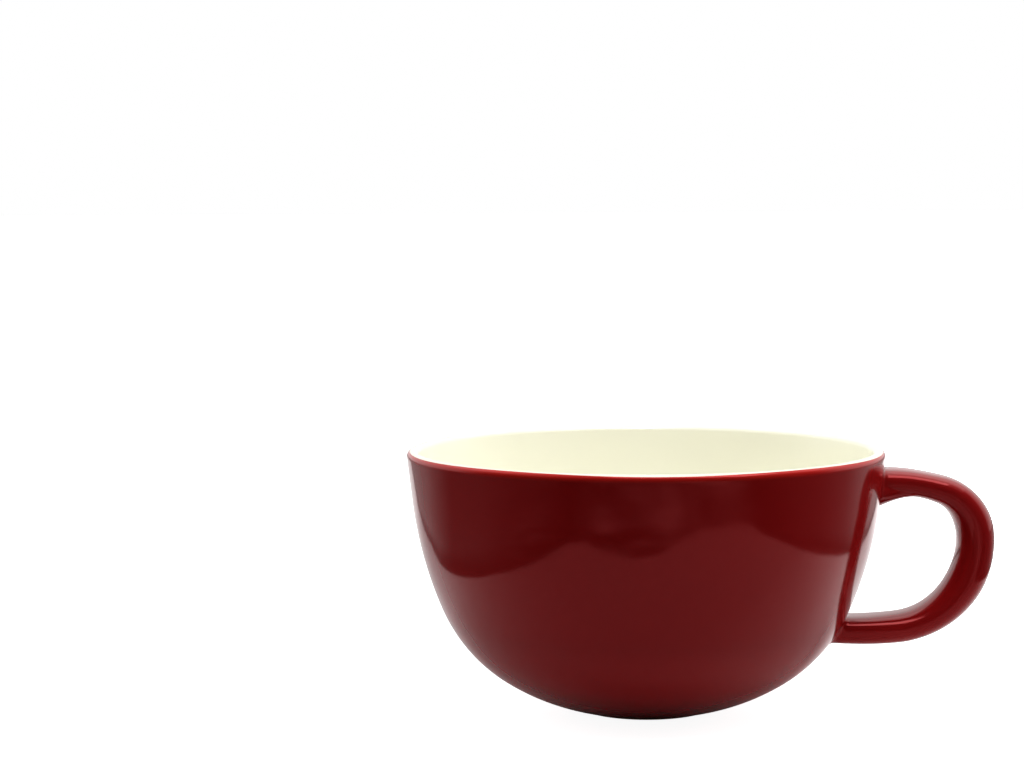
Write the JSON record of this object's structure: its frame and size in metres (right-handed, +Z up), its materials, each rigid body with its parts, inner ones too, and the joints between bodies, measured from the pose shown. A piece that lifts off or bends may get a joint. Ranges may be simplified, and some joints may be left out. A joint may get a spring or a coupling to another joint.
{
  "type": "soup mug",
  "caption": "Wide, low soup mug with a rounded bowl on a foot ring, a strap handle for one hand, cream glaze inside and red glaze outside.",
  "frame": {"origin": "on the bowl's axis in the plane of the table that the foot ring stands on", "axes": "+Z up along the bowl's axis, +X from the axis towards the handle, +Y to the left of a viewer who looks along +X"},
  "size_m": [0.1665, 0.135, 0.0744],
  "materials": {
    "biscuit": "matte fired stoneware",
    "slip": "matte fired slip",
    "cream_glaze": "gloss",
    "red_glaze": "gloss"
  },
  "bodies": {
    "root": {"bowl": "biscuit", "handle": "biscuit", "upper_joint_slip": "slip", "lower_joint_slip": "slip", "inside_glaze": "cream_glaze", "outside_glaze": "red_glaze", "base_glaze": "red_glaze"}
  },
  "joints": []
}
